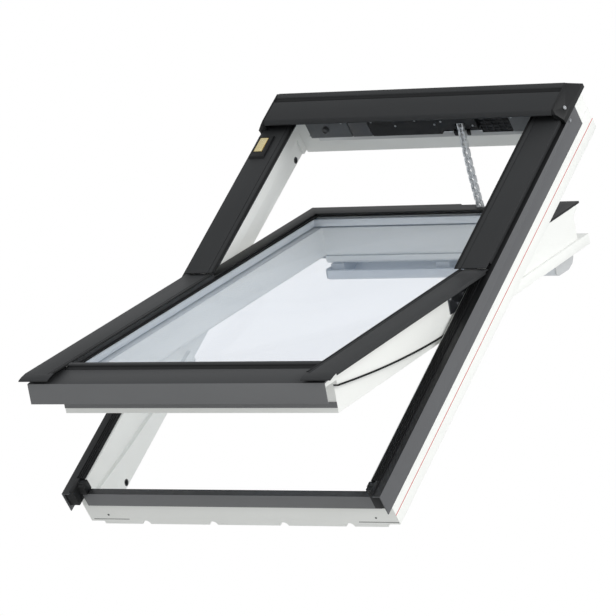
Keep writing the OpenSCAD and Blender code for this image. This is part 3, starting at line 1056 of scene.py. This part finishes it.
@dataclass
class MouldedFrame(Assembly):
    """The white fixed frame with its top rail, hinges and bolt sleeves."""

    edge_mm: float = 1.6
    front_y: float = -615.0
    slit_z: Span = (-107.6, -106.2)
    slits: tuple[Span, ...] = ((-371.0, -282.0), (283.0, 379.0))
    slit_proud: float = 0.3
    slit_in: float = 2.0
    slit_rim: float = 0.3
    slit_sunk: float = 0.25
    plug_x: float = 329.0
    plug_z: float = -94.0
    plug_r: float = 2.4
    plug_height: float = 0.8

    def build(self) -> None:
        """Makes the frame's pieces."""
        self.carry("outer_frame", self.edge_mm, FRAME_MOULDED)
        self.carry("top_rail", 0.4, ANODISED)
        self.carry("bolt_sleeves", 0.5, DARK_ABS)
        for side in SIDES:
            self.carry("frame_hinge_" + side, 0.3, ZINC)
        self.front_marks()

    def front_marks(self) -> None:
        """Drainage slits and plugs in the front of the bottom member."""
        parts = []
        for number, span in enumerate(self.slits):
            depth = (self.front_y - self.slit_proud, self.front_y + self.slit_in)
            slit = Bench.block(f"Slit_{number}", span, depth, self.slit_z, 0.0)
            Bench.pick_faces(slit, looks_down)
            bpy.ops.mesh.inset(thickness=self.slit_rim * MM)
            bpy.ops.mesh.extrude_region_move(
                TRANSFORM_OT_translate={"value": (0, self.slit_sunk * MM, 0)}
            )
            bpy.ops.object.mode_set(mode="OBJECT")
            parts.append(slit)
        for number, x in enumerate((-self.plug_x, self.plug_x)):
            turned = Matrix.Translation((x * MM, self.front_y * MM, self.plug_z * MM))
            plug = Bench.screw(f"Plug_{number}", self.plug_r, self.plug_height)
            parts.append(Bench.put(plug, turned @ Matrix.Rotation(math.pi / 2, 4, "X")))
        marks = Bench.join("Frame_drain_marks", parts)
        self.seat(marks, Plane.ROOF, DARK_ABS)


@dataclass
class Cladding(Assembly):
    """Side, wide and bottom covers, corner blocks and side gaskets of the frame."""

    fold_mm: float = 0.5
    lip_y: Span = (19.0, 536.0)
    # painted shade: outline of the dark strip laid in the hood's groove
    joint: tuple[Point, ...] = ((550.6, 36.1), (550.0, 37.4), (561.0, 37.0), (560.6, 36.1))
    groove_shade_x: Span = (-365.5, 365.5)
    screw_y: float = 504.0
    screw_z: float = -7.0
    screw_x: float = 390.0
    screw_r: float = 4.5
    head: float = 1.6
    cap_at: tuple[float, float, float] = (370.0, 0.0, 38.5)
    cap_fall: Span = (26.5, 20.0)  # fall and run of the sloping cap
    cap_screw: Span = (22.0, 514.0)  # down the cap's slope and up the roof
    cap_gap: float = 0.1  # below the head

    def build(self) -> None:
        """Makes the cladding's pieces."""
        for side in SIDES:
            self.carry("side_cover_" + side, self.fold_mm, LIT_LACQUER_SIDE)
            self.carry("upper_cover_" + side, self.fold_mm, LACQUER)
            self.carry("corner_cap_" + side, 0.8, BLACK_ABS)
            self.carry("side_gasket_" + side, 0.3, RUBBER)
            self.carry("hood_end_cap_" + side, 1.2, BLACK_ABS)
        self.carry("frame_bottom_cover", 0.5, LIT_LACQUER_FRONT)
        self.carry("hood", 1.6, LACQUER, segments=3)
        self.hood_groove_shade()
        self.lips()
        self.screws()

    def hood_groove_shade(self) -> None:
        """Dark rubber strip laid in the groove along the hood's top: painted shade that deepens
        the groove.
        """
        joint = Bench.prism("Hood_groove_shade", self.joint, self.groove_shade_x, 0.2)
        self.seat(joint, Plane.ROOF, RUBBER)

    def lips(self) -> None:
        """Black lips clipped over the inner edges of the wide covers."""
        lip = Bench.prism("Lip", LIP_OUTLINE, self.lip_y, 0.4)
        lip = Bench.put(lip, LIP_TURN)
        both = Bench.join("Wide_cover_lips", [lip, Bench.mirrored(lip, "Lip_left")])
        self.seat(both, Plane.ROOF, RUBBER)

    def screws(self) -> None:
        """Four bright screws: two in each side of the cladding."""
        head = Bench.screw("Head", self.screw_r, self.head)
        face = Matrix.Rotation(math.pi / 2, 4, "Y")
        side = Matrix.Translation((self.screw_x * MM, self.screw_y * MM, self.screw_z * MM))
        low = Bench.copy(head, "Low", side @ face)
        slope = math.atan2(*self.cap_fall)
        high = Bench.copy(
            head, "High",
            Matrix.Translation([v * MM for v in self.cap_at])
            @ Matrix.Rotation(slope, 4, "Y")
            @ Matrix.Translation([v * MM for v in (*self.cap_screw, self.cap_gap)]),
        )
        Bench.drop(head)
        pair = [Bench.mirrored(low, "Low_left"), Bench.mirrored(high, "High_left")]
        heads = Bench.join("Cladding_screws", [low, high, *pair])
        self.seat(heads, Plane.ROOF, ZINC, ("frame_screws",))


@dataclass
class ChainDrive(Assembly):
    """Actuator under the hood, its boxes, and the chain that holds the sash open."""

    exit_x: float = 107.0
    top: Point = (517.0, -16.0)
    end: Point = (446.2, -238.5)
    links: int = 22
    bow: float = 5.0
    plate_r: float = 4.9
    plate_mm: float = 2.6
    link_half: Span = (7.5, 5.2)  # middle to outer face of a wide and a narrow link
    pin_r: float = 1.9
    pin_over: float = 0.4  # what a pin stands out of its plates
    closed_share: float = 0.10  # the chain's length at the sash's other limit
    jaw: tuple[Point, ...] = ((506, -30.5), (505, -40), (508, -45), (512, -45), (516, -30.5))
    jaw_x: Span = (13.0, 19.0)  # to each side of the chain
    duct_x: Span = (152.0, 229.0)
    duct_y: Span = (518.5, 552.5)
    duct_z: Span = (-46.5, 6.0)
    duct_rib: float = 1.4
    duct_groove: float = 2.0
    dot_x: tuple[float, ...] = (-118.0, -60.0, -6.0, 40.0, 64.0, 140.0, -196.0, 292.0, 238.0)
    dot_z: Span = (-4.0, -18.0)  # taken in turn
    dot_r: float = 2.4
    dot_height: float = 1.2
    casing_x: Span = (50.0, 150.0)
    casing_front: float = 511.0
    box_front: float = 518.0
    plug_at: tuple[float, float, float] = (-240.0, 509.0, -20.0)
    plug_mm: float = 9.2
    plug_r: float = 8.0
    plug_edge: float = 1.4
    plug_rim: float = 2.2
    plug_sunk: float = 1.6

    def build(self) -> None:
        """Makes the drive's pieces."""
        for node in ("actuator_housing", "actuator_lid", "gear_casing"):
            self.carry(node, 0.7, BLACK_ABS)
        for node in ("control_box", "junction_box"):
            self.carry(node, 1.4, DIM_ABS)
        self.carry("cable_box", 1.4, DARK_ABS)
        self.carry("gear_motor", 0.6, ZINC)
        self.carry("drive_sprocket", 0.3, ZINC, body=Body.SPROCKET)
        self.chain()
        self.guides()
        self.duct()
        self.fixings()

    def at(self, share: float) -> Point:
        """The chain's middle line, from its exit to its end.

        Args:
            share: how far along, from 0 to 1.

        Returns:
            The point (y, z), flat.
        """
        lean = self.bow * math.sin(math.pi * share)
        return (
            self.top[0] + (self.end[0] - self.top[0]) * share - lean,
            self.top[1] + (self.end[1] - self.top[1]) * share,
        )

    def chain(self) -> None:
        """Link plates and pins along the bow, all one piece."""
        pitch = math.dist(self.top, self.end) / self.links
        wide, narrow = (
            self.link(name, pitch, half) for name, half in zip(("Wide", "Narrow"), self.link_half)
        )
        parts = []
        for number in range(self.links):
            (y0, z0), (y1, z1) = self.at(number / self.links), self.at((number + 1) / self.links)
            place = Matrix.Translation((self.exit_x * MM, y0 * MM, z0 * MM))
            turn = Matrix.Rotation(math.atan2(z1 - z0, y1 - y0), 4, "X")
            parts.append(
                Bench.copy(wide if number % 2 == 0 else narrow, f"Link_{number}", place @ turn)
            )
        for pattern in (wide, narrow):
            Bench.drop(pattern)
        chain = Bench.join("Chain_links", parts)
        self.seat(chain, Plane.ROOF, CHAIN_STEEL, ("opening_chain",), smooth_deg=40)
        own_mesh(chain)

    def link(self, name: str, pitch: float, half: float) -> bpy.types.Object:
        """One link: two round-ended plates and its pin, running along +y.

        Args:
            name: the piece's name.
            pitch: from pin to pin.
            half: from the middle to the outer face of a plate.

        Returns:
            The link, at the origin.
        """
        steps = 6
        outline = []
        for middle, way in ((pitch, 1), (0.0, -1)):
            for step in range(steps + 1):
                angle = -math.pi / 2 + math.pi * (step / steps)
                outline.append((
                    middle + way * self.plate_r * math.cos(angle),
                    way * self.plate_r * math.sin(angle),
                ))
        right = Bench.prism(name + "_right", outline, (half - self.plate_mm, half), 0.25, 1)
        left = Bench.mirrored(right, name + "_left")
        reach = half + self.pin_over
        pin = Bench.rod(name + "_pin", (-reach, 0, 0), "x", 2 * reach, self.pin_r, 14, 0.3)
        return Bench.join(name, [right, left, pin])

    def guides(self) -> None:
        """Two black jaws that steer the chain below the gear casing."""
        across = (self.exit_x + self.jaw_x[0], self.exit_x + self.jaw_x[1])
        jaw = Bench.prism("Jaw", self.jaw, across, 0.9)
        twin = Bench.copy(jaw, "Jaw_left", Matrix.Translation((-sum(self.jaw_x) * MM, 0, 0)))
        jaws = Bench.join("Chain_guides", [jaw, twin])
        self.seat(jaws, Plane.ROOF, BLACK_ABS)

    def duct(self) -> None:
        """Ribbed black cable duct between the gear casing and the junction box."""
        duct = Bench.block("Cable_duct", self.duct_x, self.duct_y, self.duct_z, 0.0)
        Bench.pick_faces(duct, looks_down)
        bpy.ops.mesh.subdivide(number_cuts=4)
        bpy.ops.object.mode_set(mode="OBJECT")
        Bench.pick_faces(duct, looks_down)
        bpy.ops.mesh.inset(thickness=self.duct_rib * MM, use_individual=True)
        bpy.ops.mesh.extrude_faces_move(
            TRANSFORM_OT_shrink_fatten={"value": -self.duct_groove * MM}
        )
        bpy.ops.object.mode_set(mode="OBJECT")
        Bench.round_edges(duct, 0.4, 1)
        self.seat(duct, Plane.ROOF, BLACK_ABS)

    def fixings(self) -> None:
        """Small screws on the fronts of the boxes, and the cable's plug."""
        head = Bench.screw("Dot", self.dot_r, self.dot_height)
        turn = Matrix.Rotation(math.pi / 2, 4, "X")
        parts = []
        for number, x in enumerate(self.dot_x):
            on_casing = self.casing_x[0] < x < self.casing_x[1]
            front = self.casing_front if on_casing else self.box_front
            place = Matrix.Translation((x * MM, front * MM, self.dot_z[number % 2] * MM))
            parts.append(Bench.copy(head, f"Dot_{number}", place @ turn))
        Bench.drop(head)
        dots = Bench.join("Drive_screws", parts)
        self.seat(dots, Plane.ROOF, ZINC)
        plug = Bench.rod(
            "Cable_plug", self.plug_at, "y", self.plug_mm, self.plug_r, 28, self.plug_edge
        )
        Bench.pick_faces(plug, looks_down)
        bpy.ops.mesh.inset(thickness=self.plug_rim * MM)
        bpy.ops.mesh.extrude_region_move(
            TRANSFORM_OT_translate={"value": (0, self.plug_sunk * MM, 0)}
        )
        bpy.ops.object.mode_set(mode="OBJECT")
        self.seat(plug, Plane.ROOF, DARK_ABS)


@dataclass
class RainSensor(Assembly):
    """Rain sensor on the left wide cover."""

    def build(self) -> None:
        """Makes the sensor's pieces."""
        self.carry("rain_sensor_housing", 1.6, BLACK_ABS, 3)
        self.carry("rain_sensor_pad", 0.8, SENSOR_FACE)


@dataclass
class Sash(Assembly):
    """The tilting sash: its moulding, glass, covers, seals, hinges and bolt."""

    body: Body = Body.SASH
    day_x: float = 296.0
    day_y: Span = (-562.0, 463.0)
    back_z: float = -96.0
    splay_mm: float = 9.0  # round along the inner back edge
    tongue: tuple[Point, ...] = ((480.3, -0.4), (480.3, -22), (484, -20), (504, -8), (504, -0.4))
    tongue_x: tuple[Span, ...] = ((-341.0, 78.0), (136.0, 341.0))
    profile: tuple[Point, ...] = (
        (-597, 6.3), (-597, 9.3), (-594.5, 11.2), (-585, 12.0), (-583.6, 10.8),
        (-583.6, 0.3), (-586, 0.3), (-586, 8.0), (-594, 6.6),
    )
    joint: tuple[Point, ...] = (
        (-610, 4.2), (-609.4, 4.9), (-598, 6.7), (-597.2, 8.4), (-597.2, 5.9),
    )
    profile_x: Span = (-306.8, 306.8)
    lip_y: Span = (-650.0, 12.0)
    lip_out: float = 6.0  # further out than the lips of the wide covers
    screw_r: float = 4.7
    screw_height: float = 1.2
    hinge_x: float = 344.9
    hinge_screws: tuple[Point, ...] = ((-107.0, -16.0), (-51.0, -23.0), (-77.0, -37.0))

    def build(self) -> None:
        """Makes the sash's pieces."""
        self.leaf()
        for node in ("glass_outer", "glass_inner"):
            self.carry(node, 0.6, GLASS)
        self.carry("glass_spacer", 0.4, SPACER)
        self.carry("glazing_seal", 0.5, RUBBER)
        for side in SIDES:
            self.carry("sash_cover_" + side, 0.5, LACQUER)
            self.carry("sash_seal_" + side, 0.5, RUBBER)
            self.carry("sash_hinge_" + side, 0.4, DARK_ZINC)
        self.carry("sash_bottom_cover", 0.6, LIT_LACQUER_FRONT)
        self.carry("sash_front_strip", 0.2, LIT_LACQUER_FRONT)
        self.carry("sash_top_cover", 0.8, BLACK_ABS)
        self.tongues()
        self.edge_profiles()
        self.carry("vent_casing", 1.2, MOULDED)
        self.carry("chain_bracket", 0.4, ZINC)
        self.carry("vent_pins", 0.3, ZINC)
        self.carry("bolt_housing", 0.8, GREY_ABS)
        self.carry("barrel_bolt", 0.5, ZINC, body=Body.BOLT)
        self.screws()

    def leaf(self) -> None:
        """The sash's moulding, with its inner back edge splayed."""
        leaf = Bench.from_node("sash_frame", "Visible_sash_frame", 0.0)
        flat = Plane.SASH.matrix.inverted()
        near = [flat @ vertex.co / MM for vertex in leaf.data.vertices]
        Bench.pick(leaf)
        bpy.ops.object.mode_set(mode="EDIT")
        bpy.ops.mesh.select_mode(type="EDGE")
        bpy.ops.mesh.select_all(action="DESELECT")
        bpy.ops.object.mode_set(mode="OBJECT")
        for edge in leaf.data.edges:
            edge.select = self.on_inner_edge(*(near[v] for v in edge.vertices))
        bpy.ops.object.mode_set(mode="EDIT")
        bpy.ops.mesh.bevel(offset=self.splay_mm * MM, segments=4, affect="EDGES")
        bpy.ops.object.mode_set(mode="OBJECT")
        Bench.round_edges(leaf, 1.2)
        self.seat(leaf, None, MOULDED, ("sash_frame",))

    def tongues(self) -> None:
        """White tongues of the moulding below the top cover's overhang."""
        parts = [
            Bench.prism(f"Tongue_{n}", self.tongue, span, 0.8)
            for n, span in enumerate(self.tongue_x)
        ]
        both = Bench.join("Sash_head_tongues", parts)
        self.seat(both, Plane.SASH, MOULDED)

    def edge_profiles(self) -> None:
        """The profile below the glass, its rubber joint, and lips on the side covers."""
        strip = Bench.prism("Lower_glass_profile", self.profile, self.profile_x, 0.4)
        self.seat(strip, Plane.SASH, LACQUER)
        joint = Bench.prism("Lower_glass_joint", self.joint, self.profile_x, 0.2)
        self.seat(joint, Plane.SASH, RUBBER)
        shifted = [(y - self.lip_out, z) for y, z in LIP_OUTLINE]
        lip = Bench.put(Bench.prism("Lip", shifted, self.lip_y, 0.4), LIP_TURN)
        both = Bench.join("Sash_cover_lips", [lip, Bench.mirrored(lip, "Lip_left")])
        self.seat(both, Plane.SASH, RUBBER)

    def on_inner_edge(self, a: Vector, b: Vector) -> bool:
        """Says whether an edge runs round the opening at the back.

        Args:
            a: its first end, flat, in millimetres.
            b: its second end.

        Returns:
            True for the four back edges of the opening.
        """
        slack = 0.05
        if max(abs(p.z - self.back_z) for p in (a, b)) > slack:
            return False
        if max(abs(p.x) for p in (a, b)) > self.day_x + slack:
            return False
        sides = all(abs(abs(p.x) - self.day_x) < slack for p in (a, b)) and a.x * b.x > 0
        ends = any(all(abs(p.y - y) < slack for p in (a, b)) for y in self.day_y)
        inside = all(self.day_y[0] - 1 < p.y < self.day_y[1] + 1 for p in (a, b))
        return inside and (sides or ends)

    def screws(self) -> None:
        """Three bright screws in each hinge plate."""
        head = Bench.screw("Head", self.screw_r, self.screw_height)
        turn = Matrix.Rotation(math.pi / 2, 4, "Y")
        parts = []
        for number, (y, z) in enumerate(self.hinge_screws):
            place = Matrix.Translation((self.hinge_x * MM, y * MM, z * MM))
            parts.append(Bench.copy(head, f"Hinge_head_{number}", place @ turn))
        Bench.drop(head)
        right = Bench.join("Hinge_heads", parts)
        both = Bench.join("Hinge_screws", [right, Bench.mirrored(right, "Hinge_heads_left")])
        self.seat(both, Plane.SASH, ZINC, ("hinge_screws",))


@dataclass
class ControlBar(Assembly):
    """The ventilation bar along the inner top of the sash."""

    body: Body = Body.BAR

    def build(self) -> None:
        """Makes the bar's pieces."""
        self.carry("control_bar", 1.6, BAR_SILVER, 3)
        for side in ("left", "middle", "right"):
            self.carry("bar_bracket_" + side, 1.2, PALE_ABS)
        for side in SIDES:
            self.carry("bar_end_cap_" + side, 0.7, PALE_ABS)


def main() -> None:
    """Builds the window's looks, one sub-assembly after another."""
    logging.basicConfig(level=logging.INFO, format="%(message)s")
    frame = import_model()
    FRAME_NODES.update(frame["nodes"])
    Studio().build()
    for assembly in (MouldedFrame(), Cladding(), ChainDrive(), RainSensor(), Sash(), ControlBar()):
        assembly.build()
        LOG.info("%s: %d pieces", type(assembly).__name__, len(assembly.made))


if __name__ == "__main__":
    main()
